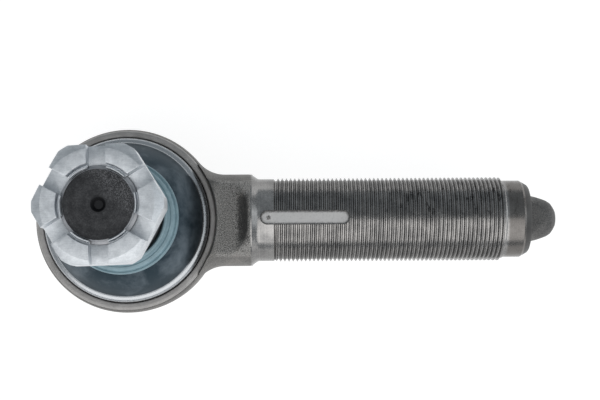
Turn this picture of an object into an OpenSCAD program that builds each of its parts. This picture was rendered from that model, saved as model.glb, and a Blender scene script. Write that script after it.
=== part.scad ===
// Tie rod end: a forged eye with a preloaded ball joint, on a threaded shank.
// Frame: origin at the ball centre, +X along the shank, +Z along the stud
// towards its slotted nut. All sizes are millimetres.

/* [Eye] */
// Outer radius of the forged eye round the ball
eye_r = 33; // [32.8:0.1:35]
// Depth of the eye's bottom face below the ball centre
eye_depth = 27; // [27:0.25:30]
// Height of the ridge that surrounds the cap's rim
ridge_top = 5.2; // [4.8:0.1:5.6]
// Height of the sliding shoulder's flat top
shoulder_top = 16.5; // [16:0.1:16.6]

/* [Ball joint] */
// Radius of the ball
ball_r = 19; // [18.6:0.1:19]
// Radial running gap of ball, stud and cap in their seats
running_gap = 0.05; // [0.03:0.01:0.08]
// Radius of the stud's neck above the ball
neck_r = 10.5; // [9.5:0.25:10.5]
// Radius of the stud's land, which is also the taper's large end
land_r = 14.4; // [14:0.1:14.4]
// Length over which the taper loses one unit of diameter
taper_ratio = 8; // [8:0.5:12]
// Height where the taper ends
taper_top = 51.8; // [48:0.2:52]
// Height of the stud's end above the ball centre
stud_top = 77; // [76.5:0.1:79]
// Diameter of the cotter pin hole
cotter_d = 5; // [4:0.1:5]
// Distance of the cotter pin hole below the stud's end
cotter_drop = 15.5; // [15.5:0.1:17]

/* [Dust cap] */
// Outer radius of the spherical cap
cap_r = 28.4; // [28.3:0.1:28.6]
// Sheet thickness of the cap
cap_wall = 1; // [0.8:0.05:1.05]
// Height of the cap's rim
cap_rim = 4.5; // [4.2:0.1:5.5]
// Outer radius of the flange that the cap's rim is turned out to
flange_r = 29.3; // [29:0.1:29.4]
// Radius of the cap's mouth, where the neck seal is seated
cap_mouth_r = 17.2; // [17:0.1:17.6]

/* [Shank] */
// Radius of the plain collar between the eye and the thread
collar_r = 16.45; // [16:0.05:16.8]
// Crest radius of the shank thread
shank_thread_r = 15; // [14.8:0.05:15]
// Start of the shank thread, measured from the ball centre
shank_thread_from = 52.7; // [52:0.1:54]
// Number of thread turns on the shank
shank_turns = 55; // [40:1:55]
// Radius of the plain pilot after the thread
pilot_r = 13.8; // [13:0.1:13.9]
// Width of the keyway
keyway_w = 5; // [4:0.1:6]
// Depth of the keyway's floor below the thread crests
keyway_depth = 2; // [1.5:0.1:2.5]

/* [Slotted nut] */
// Width across the nut's flats
nut_flats = 36; // [36:0.5:38]
// Height of the nut's slotted face above the ball centre
nut_top = 79.5; // [79:0.1:80]
// Height of the nut
nut_h = 15; // [14:0.1:15]
// Width of the cotter pin slots
slot_w = 5.5; // [5.3:0.1:6]
// Depth of the cotter pin slots
slot_depth = 6; // [5:0.1:7]

/* [Hidden] */
$fn = 96;
big = 400;   // any cutting body that must reach right past the part
eps = 0.01;  // how far a cutter passes a face that it must open

// Metric threads of 1.5 pitch, built as rings of the same section.
pitch = 1.5;
thread_depth = 0.6134 * pitch;
crest_w = pitch / 8;
flank_w = thread_depth * tan(30);
root_w = pitch - crest_w - 2 * flank_w;

// Eye: sliding shoulder, cap recess and the bores underneath.
shoulder_r = 26.4;
recess_floor = -5.6;
recess_r = 30.1;
seat_bore_r = 22.5;
cover_bore_r = 24.5;
cover_step = -20.5;
cover_t = 3;
ring_groove_r = 26.2;
ring_t = 2;
ring_inner_r = 21;
ring_hole_at = 11;           // degrees from the middle of the gap
cover_low = cover_step - cover_t;
mouth_low = [15.1, 11.6];    // stud opening where it meets the ball
mouth_mid = [16.6, 15.2];    // and where it leaves the seat
mouth_top_r = 18.4;          // and at the shoulder's flat top
seat_split = 0.8;            // half the gap between the two seats

// Neck of the forging.
fillet_r = 12;                            // concave corner in plan
web_r = collar_r + 0.12;                  // bar section at the web's end
fillet_y = web_r + fillet_r;
fillet_x = sqrt(pow(eye_r + fillet_r, 2) - pow(fillet_y, 2));
flat_z = 10.9;                            // turned flat behind the ridge
flat_from = 32.1;
flat_to = 38;
ramp_to = 44;
collar_end = 44.7;
shank_neck_from = 46.7;
shank_neck_r = shank_thread_r - 0.25;
thread_to = shank_thread_from + shank_turns * pitch;
pilot_to = thread_to + 5.8;
pilot_nose_r = 12.1;
nose_to = pilot_to + 2.5;
keyway_from = 47.6;
keyway_to = 79.1;

// Stud.
land_from = 22.9;
land_to = 27;
taper_end_r = land_r - (taper_top - land_to) / taper_ratio / 2;
stud_thread_r = 12;
nut_low = nut_top - nut_h;
stud_turns = 15;
ball_flat = 18;              // the ball's pole is faced off at this depth

// Nut.
nut_bore_r = 11.19;
nut_countersink_r = 12.8;
nut_face_r = 17.1;
nut_corner_r = nut_flats / 2 / cos(30);
nut_thread_gap = 0.05;
nut_spare_turns = 2;         // turns of the nut's thread above the stud's

// Dust cap.
flange_w = 1.9;              // width of the flange's flat lower edge
crease_r = 27.3;             // where the dome turns out into the flange
crease_h = 3.2;              // height of that above the rim

// End cover and grease nipple.
cover_r = 24.4;
boss_r = 9;
boss_low = -28;
o_ring_wire_r = 0.93;
o_ring_r = 23.55;
nipple_thread_r = 5;
nipple_hex = 11;
nipple_low = -38;
nipple_bore_r = 1.6;
check_ball_r = 1.5;
check_ball_z = -35.5;
nipple_seat_r = 1.1;

// Colours.
forged = [0.39, 0.38, 0.36];
zinc = [0.72, 0.74, 0.77];
navy = [0.25, 0.30, 0.34];
teal = [0.48, 0.62, 0.66];
black = [0.19, 0.19, 0.21];
bright = [0.62, 0.62, 0.63];
nylon = [0.85, 0.84, 0.78];
rubber = [0.10, 0.10, 0.10];

// A point of a thread's edge: radius, then height.
function ring_edge(crest, root, from, turns) = [
    for (i = [0 : turns - 1])
        each [[root, from + i * pitch + root_w / 2],
              [crest, from + i * pitch + root_w / 2 + flank_w],
              [crest, from + (i + 1) * pitch - root_w / 2 - flank_w],
              [root, from + (i + 1) * pitch - root_w / 2]]];

// A hemispherical or full ball of radius r between two heights.
module ball_between(r, low, high) {
    intersection() {
        sphere(r);
        translate([0, 0, low]) cylinder(r = r + 1, h = high - low);
    }
}

// Lays a part built along Z out along +X.
module along_x() {
    rotate([0, 90, 0]) children();
}

// ---- Housing -------------------------------------------------------

module eye_solid() {
    rotate_extrude()
        polygon([[0, -eye_depth], [29.4, -eye_depth],
                 [31.2, -eye_depth + 1.4], [32, -eye_depth + 4],
                 [eye_r - 0.4, -14], [eye_r - 0.1, -7], [eye_r, -3],
                 [eye_r, 0.6], [eye_r - 0.25, 2.2],
                 [eye_r - 0.6, 3.2], [eye_r - 0.85, 3.9],
                 [eye_r - 1.2, ridge_top - 0.5],
                 [eye_r - 1.6, ridge_top - 0.1], [eye_r - 2, ridge_top],
                 [eye_r - 2.4, ridge_top - 0.3],
                 [recess_r - eps, ridge_top - 1.2], [0, ridge_top - 1.2]]);
}

// Round bar section at the collar that widens into the eye.
module web() {
    difference() {
        translate([0, 0, -web_r])
            linear_extrude(2 * web_r)
                polygon([[0, 0], [fillet_x, -fillet_y],
                         [fillet_x, fillet_y]]);
        for (side = [-1, 1])
            translate([fillet_x, side * fillet_y, 0]) web_waist();
    }
}

// Leaves the bar's circle at the waist and the fillet in plan.
module web_waist() {
    rotate_extrude()
        polygon(concat(
            [[0, -web_r - 1], [fillet_y - 0.5, -web_r - 1]],
            [for (a = [-88 : 8 : 88])
                [fillet_y - web_r * cos(a), web_r * sin(a)]],
            [[fillet_y - 0.5, web_r + 1], [0, web_r + 1]]));
}

module shank() {
    along_x() rotate_extrude()
        polygon(concat(
            [[0, fillet_x - 3], [collar_r, fillet_x - 3],
             [collar_r, collar_end],
             [shank_neck_r, shank_neck_from],
             [shank_neck_r, shank_thread_from]],
            ring_edge(shank_thread_r, shank_thread_r - thread_depth,
                      shank_thread_from, shank_turns),
            [[pilot_r, thread_to], [pilot_r, pilot_to],
             [pilot_nose_r, nose_to], [0, nose_to]]));
}

// The forging's centre stub, flattened by the dies.
module stub() {
    intersection() {
        along_x() rotate_extrude()
            polygon([[0, nose_to - 1], [9.3, nose_to - 1],
                     [9.1, nose_to + 0.4], [8.1, nose_to + 1.8],
                     [7.75, nose_to + 3.4], [7.2, nose_to + 5.1],
                     [6.5, nose_to + 7], [5.6, nose_to + 8.4],
                     [4.2, nose_to + 9.4], [2.8, nose_to + 10.2],
                     [0, nose_to + 10.2]]);
        translate([nose_to - 2, -10, -6.6]) cube([14, 20, 13.2]);
    }
}

// Turned round the stud axis so that the cap can slide and swing.
module cap_recess() {
    rotate_extrude()
        polygon([[0, recess_floor], [recess_r, recess_floor],
                 [recess_r, ridge_top + eps],
                 [flat_from, ridge_top + eps], [flat_from, flat_z],
                 [flat_to, flat_z], [ramp_to, collar_r + 1],
                 [0, collar_r + 1]]);
}

module shoulder() {
    translate([0, 0, recess_floor - 1])
        cylinder(r = shoulder_r, h = -recess_floor + 1);
    ball_between(shoulder_r, 0, shoulder_top);
}

module housing_bores() {
    ball_between(seat_bore_r, 0, seat_bore_r);
    translate([0, 0, -eye_depth - 1])
        cylinder(r = seat_bore_r, h = eye_depth + 1);
    translate([0, 0, -eye_depth - 1])
        cylinder(r = cover_bore_r, h = cover_step + eye_depth + 1);
    translate([0, 0, cover_low - ring_t])
        cylinder(r = ring_groove_r, h = ring_t);
    rotate_extrude()
        polygon([[0, mouth_low.y - 1], [mouth_low.x, mouth_low.y - 1],
                 mouth_low, mouth_mid, [mouth_top_r, shoulder_top],
                 [mouth_top_r, shoulder_top + 1], [0, shoulder_top + 1]]);
}

module keyway() {
    floor_z = shank_thread_r - keyway_depth;
    for (x = [keyway_from + keyway_w / 2, keyway_to - keyway_w / 2])
        translate([x, 0, floor_z]) cylinder(d = keyway_w, h = 5);
    translate([keyway_from + keyway_w / 2, -keyway_w / 2, floor_z])
        cube([keyway_to - keyway_from - keyway_w, keyway_w, 5]);
}

module housing() {
    color(forged) difference() {
        union() {
            difference() {
                union() {
                    eye_solid();
                    web();
                    shank();
                    stub();
                }
                cap_recess();
            }
            shoulder();
        }
        housing_bores();
        keyway();
    }
}

// ---- Inside the eye ------------------------------------------------

module upper_seat() {
    color(nylon) difference() {
        intersection() {
            sphere(seat_bore_r);
            rotate_extrude()
                polygon([[10, seat_split], [24, seat_split],
                         [24, mouth_mid.y], [mouth_mid.x, mouth_mid.y],
                         mouth_low, [10, mouth_low.y]]);
        }
        sphere(ball_r + running_gap);
    }
}

seat_low = -17.5;

module lower_seat() {
    color(nylon) difference() {
        translate([0, 0, seat_low])
            cylinder(r = seat_bore_r - 0.1, h = -seat_split - seat_low);
        sphere(ball_r + running_gap);
        translate([0, 0, seat_low - 1]) cylinder(r = 9, h = 4);
    }
}

// A disc spring, pressed flat enough to load the lower seat.
module preload_spring() {
    spring_t = 1.6;
    color(bright) rotate_extrude()
        polygon([[11, seat_low], [11, seat_low - spring_t],
                 [21, cover_step], [21, cover_step + spring_t]]);
}

module end_cover() {
    color(zinc) difference() {
        rotate_extrude()
            polygon([[0, cover_step], [cover_r, cover_step],
                     [cover_r, -21.0], [o_ring_r - 0.95, -21.0],
                     [o_ring_r - 0.95, -23.0], [cover_r, -23.0],
                     [cover_r, cover_low], [12, cover_low],
                     [boss_r, -24.5], [boss_r, boss_low + 0.5],
                     [boss_r - 0.5, boss_low], [0, boss_low]]);
        translate([0, 0, boss_low - 1])
            cylinder(r = nipple_thread_r, h = 12);
    }
}

module cover_seal() {
    color(rubber) translate([0, 0, -22]) rotate_extrude()
        translate([o_ring_r, 0]) circle(r = o_ring_wire_r, $fn = 32);
}

// Snap ring with a gap and two plier holes.
module retaining_ring() {
    low = cover_low - ring_t;
    color(bright) translate([0, 0, low]) difference() {
        cylinder(r = ring_groove_r - 0.1, h = ring_t);
        translate([0, 0, -1]) cylinder(r = ring_inner_r, h = ring_t + 2);
        for (a = [-ring_hole_at, ring_hole_at]) rotate(180 + a)
            translate([(ring_inner_r + cover_bore_r) / 2, 0, -1])
                cylinder(r = 1.1, h = ring_t + 2);
        translate([-30, -2, -1]) cube([12, 4, ring_t + 2]);
    }
}

module nipple_body() {
    color(zinc) difference() {
        union() {
            translate([0, 0, boss_low])
                cylinder(r = nipple_thread_r, h = cover_step - boss_low);
            translate([0, 0, boss_low - 3.5])
                cylinder(d = nipple_hex / cos(30), h = 3.5, $fn = 6);
            rotate_extrude()
                polygon([[0, nipple_low], [2.0, nipple_low],
                         [3.25, nipple_low + 1.6],
                         [3.25, nipple_low + 2.6],
                         [2.4, nipple_low + 3.6],
                         [2.4, nipple_low + 4.6],
                         [4, boss_low - 3.4], [0, boss_low - 3.4]]);
        }
        translate([0, 0, check_ball_z])
            cylinder(r = nipple_bore_r, h = -cover_step);
        translate([0, 0, nipple_low - 1])
            cylinder(r = nipple_seat_r, h = check_ball_z - nipple_low + 1
                     + eps);
    }
}

spring_r = 1.1;
spring_wire_r = 0.25;
spring_from = check_ball_z + 2.75;
spring_turns = 6;
spring_pitch = 1.5;

// The check spring drawn as level coils, tied by one upright.
module nipple_spring() {
    color(bright) {
        for (i = [0 : spring_turns - 1])
            translate([0, 0, spring_from + i * spring_pitch])
                rotate_extrude() translate([spring_r, 0])
                    circle(r = spring_wire_r, $fn = 16);
        translate([spring_r, 0, spring_from])
            cylinder(r = spring_wire_r * 0.8,
                     h = (spring_turns - 1) * spring_pitch, $fn = 16);
    }
}

module nipple_ball() {
    color(bright)
        translate([0, 0, check_ball_z + 1.05]) sphere(check_ball_r);
}

// ---- Stud and its nut ------------------------------------------------

module ball_stud() {
    color(black) difference() {
        union() {
            ball_between(ball_r, -ball_flat, ball_r);
            rotate_extrude()
                polygon(concat(
                    [[0, 0], [neck_r, 0], [neck_r, 20.3],
                     [neck_r + 0.5, 21.1], [neck_r + 1.6, 21.8],
                     [land_r, land_from], [land_r, land_to],
                     [taper_end_r, taper_top],
                     [stud_thread_r - thread_depth, taper_top + 0.7]],
                    ring_edge(stud_thread_r, stud_thread_r - thread_depth,
                              stud_top - (stud_turns + 1) * pitch,
                              stud_turns),
                    [[stud_thread_r - thread_depth, stud_top - 1],
                     [stud_thread_r - 1, stud_top], [0, stud_top]]));
        }
        translate([0, 0, stud_top - cotter_drop]) rotate([90, 0, 0])
            cylinder(d = cotter_d, h = 40, center = true);
        centre_drill();
        grease_dimple();
    }
}

module centre_drill() {
    rotate_extrude()
        polygon([[0, stud_top + 1], [2.65 + 0.58, stud_top + 1],
                 [2.65, stud_top], [1, stud_top - 2.4],
                 [1, stud_top - 4.4], [0, stud_top - 4.4]]);
}

module grease_dimple() {
    translate([0, 0, -ball_flat - 1]) cylinder(r = 2.5, h = 4);
}

// Thread cutter that leaves the nut's rings between the stud's.
module nut_thread() {
    space_w = crest_w + 2 * nut_thread_gap;
    reach = stud_thread_r + 0.08 - nut_bore_r;
    wide = space_w / 2 + reach * tan(30);
    for (i = [0 : stud_turns + nut_spare_turns - 1])
        translate([0, 0, stud_top - (stud_turns - i + 0.5) * pitch])
            rotate_extrude()
                polygon([[nut_bore_r - 1, -wide], [nut_bore_r, -wide],
                         [nut_bore_r + reach, -space_w / 2],
                         [nut_bore_r + reach, space_w / 2],
                         [nut_bore_r, wide], [nut_bore_r - 1, wide]]);
}

module castle_nut() {
    chamfer_h = (nut_corner_r - nut_face_r) * tan(30);
    sink_h = nut_countersink_r - nut_bore_r;
    color(zinc) difference() {
        intersection() {
            translate([0, 0, nut_low])
                cylinder(r = nut_corner_r, h = nut_h, $fn = 6);
            rotate_extrude()
                polygon([[0, nut_low], [nut_face_r, nut_low],
                         [nut_corner_r, nut_low + chamfer_h],
                         [nut_corner_r, nut_top - chamfer_h],
                         [nut_face_r, nut_top], [0, nut_top]]);
        }
        translate([0, 0, nut_low - 1])
            cylinder(r = nut_bore_r, h = nut_h + 2);
        nut_thread();
        rotate_extrude()
            polygon([[0, nut_top + 1], [nut_countersink_r + 1, nut_top + 1],
                     [nut_countersink_r, nut_top],
                     [nut_bore_r, nut_top - sink_h * 0.75],
                     [0, nut_top - sink_h * 0.75]]);
        rotate_extrude()
            polygon([[0, nut_low - 1], [nut_countersink_r + 1, nut_low - 1],
                     [nut_countersink_r, nut_low],
                     [nut_bore_r, nut_low + sink_h * 0.75],
                     [0, nut_low + sink_h * 0.75]]);
        for (a = [30, 90, 150]) rotate(a)
            translate([-big / 2, -slot_w / 2, nut_top - slot_depth])
                cube([big, slot_w, slot_depth + 1]);
    }
}

// ---- Dust cap and seals ----------------------------------------------

module dust_cap() {
    color(navy) union() {
        difference() {
            ball_between(cap_r, cap_rim, cap_r);
            sphere(cap_r - cap_wall);
            cylinder(r = cap_mouth_r, h = cap_r + 1);
        }
        cap_flange();
    }
}

// The cap's rim, turned outwards to stiffen it.
module cap_flange() {
    rotate_extrude()
        translate([0, cap_rim])
            polygon([[flange_r - flange_w, 0], [flange_r, 0],
                     [flange_r, 1.2], [flange_r - 0.35, 2.25],
                     [flange_r - 0.9, 2.7], [crease_r, crease_h],
                     [crease_r - 0.4, crease_h]]);
}

// Rubber band that rides on the shoulder, under the cap.
module cap_seal() {
    color(rubber) difference() {
        intersection() {
            sphere(cap_r - cap_wall - running_gap);
            rotate_extrude()
                polygon([[20, 7.2], [32, 8], [32, 17], [24, 12.8],
                         [20, 11]]);
        }
        sphere(shoulder_r + running_gap);
    }
}

// Grooved ring snapped into the cap's mouth, running on the stud's land.
module neck_seal() {
    bore = land_r + running_gap;
    color(teal) difference() {
        rotate_extrude()
            polygon([[bore, land_from], [18.5, 19.6], [18.8, 20.6],
                     [19.8, 19.8], [19.8, 23.3],
                     [19.3, 23.9], [18.9, 23.5], [18.5, 24.3],
                     [18, 25.1], [17.4, 25.3], [17.1, 25.1],
                     [16.7, 25.9], [15.9, 26.5], [bore, 26.6]]);
        difference() {
            sphere(cap_r);
            sphere(cap_r - cap_wall);
            cylinder(r = cap_mouth_r, h = cap_r + 1);
        }
    }
}

// ---- What is drawn -----------------------------------------------------

housing();
upper_seat();
lower_seat();
preload_spring();
end_cover();
cover_seal();
retaining_ring();
nipple_body();
nipple_spring();
nipple_ball();
ball_stud();
dust_cap();
cap_seal();
neck_seal();
castle_nut();
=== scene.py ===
# %% [markdown]
# # A tie rod end, from frame to finish
# A tie rod end joins a steering rod to a wheel's steering arm. A ball turns
# inside a forged eye; a tapered stud grows out of the ball, and a slotted nut
# pulls the taper into the arm. This lesson dresses the measured CAD model: the
# CAD pieces say where everything is, and Blender adds the shapes and finishes
# that the checks have no need of.

# %% Load the measured model
import math

import bmesh
import bpy
from mathutils import Matrix, Vector


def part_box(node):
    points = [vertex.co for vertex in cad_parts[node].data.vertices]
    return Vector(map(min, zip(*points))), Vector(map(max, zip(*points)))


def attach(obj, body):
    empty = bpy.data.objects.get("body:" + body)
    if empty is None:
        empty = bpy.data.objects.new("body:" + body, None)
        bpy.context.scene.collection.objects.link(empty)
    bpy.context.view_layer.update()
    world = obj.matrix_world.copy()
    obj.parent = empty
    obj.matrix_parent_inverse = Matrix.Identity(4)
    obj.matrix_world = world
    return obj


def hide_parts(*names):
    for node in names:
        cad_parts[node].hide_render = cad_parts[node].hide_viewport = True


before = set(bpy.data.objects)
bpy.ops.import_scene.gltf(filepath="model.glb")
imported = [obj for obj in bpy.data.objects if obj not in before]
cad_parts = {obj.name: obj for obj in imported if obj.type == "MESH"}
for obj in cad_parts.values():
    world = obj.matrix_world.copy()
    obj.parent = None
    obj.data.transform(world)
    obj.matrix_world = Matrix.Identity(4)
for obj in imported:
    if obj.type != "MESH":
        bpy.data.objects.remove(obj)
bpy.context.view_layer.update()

# %% [markdown]
# ## Sizes
# A workshop drawing is in millimetres and Blender is in metres, so the lesson
# keeps millimetres and scales once, when a mesh is finished. The main sizes
# are read from the CAD pieces, so a change there moves the pieces here.

# %% Read the driving sizes
MM = 0.001


def span(node, axis):
    """Lowest and highest place of a CAD piece along one axis, in millimetres."""
    low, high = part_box(node)
    return low[axis] / MM, high[axis] / MM


eye_r = -span("housing", 0)[0]
stub_end = span("housing", 0)[1]
eye_low = span("housing", 2)[0]
cap_rim_z = span("dust_cap", 2)[0]
flange_r = span("dust_cap", 0)[1]
nut_low, nut_top = span("castle_nut", 2)
nut_flats = span("castle_nut", 1)[1] - span("castle_nut", 1)[0]
stud_top = span("ball_stud", 2)[1]
print("eye radius", round(eye_r, 2), "flange radius", round(flange_r, 2),
      "nut", round(nut_flats, 2), "across flats")

# %% [markdown]
# ## Camera
# The part lies with its stud towards the lens, and the lens stands beside the
# stud, over the start of the thread. So the stud seems to lean away to one
# side. A camera is easiest to place by its position and the point it looks at;
# the picture's upright is the part's +Y, turned by a small roll.

# %% Place the camera
LENS_PLACE = Vector((0.0550, -0.0300, 0.4600))
LOOKED_AT = Vector((0.0618, 0.0072, 0.0))
VIEW_WIDTH = 0.2168
SENSOR = 36.0
ROLL = math.radians(-0.38)


def looking(place, target, roll):
    """The rotation of a camera at place that looks at target, +Y upright."""
    back = (place - target).normalized()
    right = Vector((0, 1, 0)).cross(back).normalized()
    turn = Matrix((right, back.cross(right), back)).transposed()
    return (Matrix.Rotation(roll, 3, back) @ turn).to_euler()


lens = bpy.data.cameras.new("bench_camera")
lens.sensor_width = SENSOR
lens.lens = SENSOR * (LENS_PLACE - LOOKED_AT).length / VIEW_WIDTH
camera = bpy.data.objects.new("bench_camera", lens)
camera.location = LENS_PLACE
camera.rotation_euler = looking(LENS_PLACE, LOOKED_AT, ROLL)
bpy.context.scene.collection.objects.link(camera)
bpy.context.scene.camera = camera
bpy.context.scene.view_settings.view_transform = "Standard"
print("lens", round(lens.lens, 1), "mm")

# %% [markdown]
# ## Shader maths
# A finish is a recipe of numbers that change from place to place. Wrapping a
# socket in a small class lets the recipe be written as a sum: every operator
# adds one Math node. Any other node comes from one method.

# %% The socket class


class Wire:
    """One output socket of a material's node tree, with arithmetic."""

    def __init__(self, tree, socket=None):
        self.tree = tree
        self.socket = socket

    def node(self, kind, settings, sockets, out=0):
        """Adds a node of a kind, sets it up, feeds its sockets, gives an output."""
        made = self.tree.nodes.new("ShaderNode" + kind)
        for name, value in settings.items():
            setattr(made, name, value)
        for name, value in sockets.items():
            feed(self.tree, made.inputs[name], value)
        return Wire(self.tree, made.outputs[out])

    def maths(self, operation, *values):
        """One Math node. Only the values given feed it, so this wire may be one."""
        return self.node("Math", {"operation": operation}, dict(enumerate(values)))

    def __add__(self, other):
        return self.maths("ADD", self, other)

    __radd__ = __add__

    def __sub__(self, other):
        return self.maths("SUBTRACT", self, other)

    def __rsub__(self, other):
        return self.maths("SUBTRACT", other, self)

    def __mul__(self, other):
        return self.maths("MULTIPLY", self, other)

    __rmul__ = __mul__

    def __abs__(self):
        return self.maths("ABSOLUTE", self)

    def __gt__(self, limit):
        return self.maths("GREATER_THAN", self, limit)

    def __lt__(self, limit):
        return self.maths("LESS_THAN", self, limit)

    def between(self, low, high):
        """0 below low, 1 above high, and a smooth rise from one to the other."""
        return self.node("MapRange", {"interpolation_type": "SMOOTHSTEP"},
                         {"Value": self, "From Min": low, "From Max": high})

    def blend(self, first, second):
        """A colour that goes from first to second as this wire goes from 0 to 1."""
        return self.node("Mix", {"data_type": "RGBA"},
                         {"Factor": self, 6: first, 7: second}, out=2)


def feed(tree, socket, value):
    """Links a wire to a socket, or sets a plain value on the socket itself."""
    if isinstance(value, Wire):
        tree.links.new(value.socket, socket)
    elif isinstance(value, tuple) and len(value) == 3 and socket.type == "RGBA":
        socket.default_value = (*value, 1.0)
    else:
        socket.default_value = value


# %% [markdown]
# ## What every finish starts from
# Patterns are laid on the piece's own coordinates, in millimetres, so a grain
# of 0.3 mm stays 0.3 mm. `Bench` gathers the few measures that the finishes
# share: the place, the distance from the stud's axis, and noise of any size.

# %% A bench for mixing finishes


class Bench:
    """A new material, with the measures that its recipe can use."""

    def __init__(self, name):
        self.material = bpy.data.materials.new(name)
        self.material.use_nodes = True
        self.tree = self.material.node_tree
        self.shader = self.tree.nodes["Principled BSDF"]
        start = Wire(self.tree)
        own = start.node("TexCoord", {}, {}, out="Object")
        self.place = start.node("VectorMath", {"operation": "SCALE"},
                                {0: own, "Scale": 1 / MM})
        self.x, self.y, self.z = (
            start.node("SeparateXYZ", {}, {"Vector": self.place}, out=axis)
            for axis in "XYZ")

    def noise(self, per_mm, detail=4.0, roughness=0.55, stretch=None,
              distortion=0.0):
        """Noise with per_mm features in a millimetre, longer where stretch is small."""
        place = self.place
        if stretch:
            place = place.node("Mapping", {}, {"Vector": place, "Scale": stretch})
        return place.node("TexNoise", {}, {
            "Vector": place, "Scale": per_mm, "Detail": detail,
            "Roughness": roughness, "Distortion": distortion})

    def cells(self, per_mm):
        """Distance to the nearest of points scattered per_mm, as scale flakes."""
        return self.place.node("TexVoronoi", {"feature": "F1"},
                               {"Vector": self.place, "Scale": per_mm}, out="Distance")

    def from_stud_axis(self):
        """Distance from the Z axis."""
        return self.x.maths("SQRT", self.x * self.x + self.y * self.y)

    def lathe_lines(self, axis, per_mm, detail=3.0):
        """Noise that is the same all round an axis, as a cutting tool leaves it."""
        along, other = {"X": (self.x, self.z), "Z": (self.z, self.x)}[axis]
        reach = along.maths("SQRT", self.y * self.y + other * other)
        ring = along.node("CombineXYZ", {}, {"X": reach, "Y": along})
        return ring.node("TexNoise", {}, {"Vector": ring, "Scale": per_mm,
                                          "Detail": detail})

    def relief(self, height, depth_mm):
        """A normal that shades height, 0 to 1, as relief of a depth."""
        return height.node("Bump", {}, {"Strength": 1.0, "Distance": depth_mm * MM,
                                        "Height": height}, out="Normal")

    def finish(self, **looks):
        """Feeds the shader: base_color becomes Base Color, and so on."""
        for name, value in looks.items():
            title = name.replace("_", " ").title().replace("Ior", "IOR")
            feed(self.tree, self.shader.inputs[title], value)
        return self.material


print("finishes read the piece's own coordinates in millimetres")

# %% [markdown]
# ## Building turned pieces
# Most of this part comes off a lathe, and a lathe piece is half a section spun
# about its axis. The section starts as one flat face, because a face can have
# its corners rounded with a bevel. Then the face goes and its outline is spun.
# Corners on the axis stay sharp, so the poles close.

# %% Section, spin, and a finished object
TURN_STEPS = 128
WELD = 2e-6


def arc(radius, start, stop, steps):
    """Points (r, z) on an arc. Angles are in degrees from the +r direction."""
    turns = (math.radians(start + (stop - start) * i / steps)
             for i in range(steps + 1))
    return [(radius * math.cos(a), radius * math.sin(a)) for a in turns]


def turned(section, rounding=0.0, steps=TURN_STEPS):
    """A bmesh spun about Z from a closed section of (r, z) points in mm.

    Corners are rounded by rounding mm, apart from those on the axis."""
    shape = bmesh.new()
    corners = [shape.verts.new((r * MM, 0, z * MM)) for r, z in section]
    face = shape.faces.new(corners)
    if rounding:
        softened = [v for v in corners if v.co.x > WELD]
        bmesh.ops.bevel(shape, geom=softened, offset=rounding * MM,
                        offset_type="OFFSET", segments=2, profile=0.5,
                        affect="VERTICES", clamp_overlap=True, material=-1)
        face = shape.faces[:][0]
    bmesh.ops.delete(shape, geom=[face], context="FACES_ONLY")
    on_axis = [e for e in shape.edges if all(v.co.x < WELD for v in e.verts)]
    bmesh.ops.delete(shape, geom=on_axis, context="EDGES")
    outline = shape.verts[:] + shape.edges[:]
    bmesh.ops.spin(shape, geom=outline, cent=(0, 0, 0), axis=(0, 0, 1),
                   dvec=(0, 0, 0), angle=math.tau, steps=steps, use_merge=True,
                   use_normal_flip=False, use_duplicate=False)
    bmesh.ops.remove_doubles(shape, verts=shape.verts[:], dist=WELD)
    bmesh.ops.recalc_face_normals(shape, faces=shape.faces[:])
    return shape


def object_of(shape, name):
    """Turns a bmesh into an object of the scene, at the origin."""
    mesh = bpy.data.meshes.new(name)
    shape.to_mesh(mesh)
    shape.free()
    made = bpy.data.objects.new(name, mesh)
    bpy.context.scene.collection.objects.link(made)
    return made


def with_modifiers(made):
    """Replaces an object's mesh with what its modifiers make of it."""
    seen = made.evaluated_get(bpy.context.evaluated_depsgraph_get())
    made.data = bpy.data.meshes.new_from_object(seen)
    made.modifiers.clear()
    return made


def combined(first, second, operation):
    """Joins, cuts or crosses first with second, which is used up."""
    step = first.modifiers.new(operation.lower(), "BOOLEAN")
    step.operation, step.object, step.solver = operation, second, "EXACT"
    with_modifiers(first)
    bpy.data.objects.remove(second)
    return first


def broken_edges(made, width, segments, sharper_than):
    """Bevels every edge that turns more than an angle in degrees."""
    edge = made.modifiers.new("edge", "BEVEL")
    edge.width, edge.segments, edge.limit_method = width * MM, segments, "ANGLE"
    edge.angle_limit = math.radians(sharper_than)
    return with_modifiers(made)


def hand_over(made, material, body, stands_for=(), crease=32.0):
    """Shades a piece, gives it its finish, and puts it on its CAD body."""
    mesh = made.data
    mesh.materials.clear()
    mesh.materials.append(material)
    mesh.shade_smooth()
    mesh.set_sharp_from_angle(angle=math.radians(crease))
    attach(made, body)
    if stands_for:
        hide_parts(*stands_for)
    mesh.calc_loop_triangles()
    low, high = (tuple(round(f(c[i] for c in (v.co for v in mesh.vertices)) / MM, 1)
                       for i in range(3)) for f in (min, max))
    print(f"{made.name}: {len(mesh.loop_triangles)} triangles, {low} to {high} mm")
    return made


# %% [markdown]
# ## The finish of a forging
# Forged steel is grey-brown, grained by scale at a tenth of a millimetre and
# patched by heat at a few millimetres. Two noises mix the colour, and the fine
# one also pits the surface. The flat beside the eye is left gritty and bright,
# and painted shade darkens the hollow behind it nearly to black. A mask of
# place, which is 1 inside a box with soft sides, says where each of them is.

# %% Forged steel


WEB_FLAT_X, WEB_FLAT_Z = (30.5, 34.0, 43.8, 45.0), (9.0, 10.6)
HOLLOW_X, HOLLOW_Y, HOLLOW_Z = (38.6, 40.6, 42.9, 44.4), (6.5, 10.5), 9.5


def window(value, rise_from, rise_to, fall_from, fall_to):
    """A mask that rises from 0 to 1, stays, and falls to 0 again."""
    return value.between(rise_from, rise_to) * value.between(fall_to, fall_from)


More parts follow.
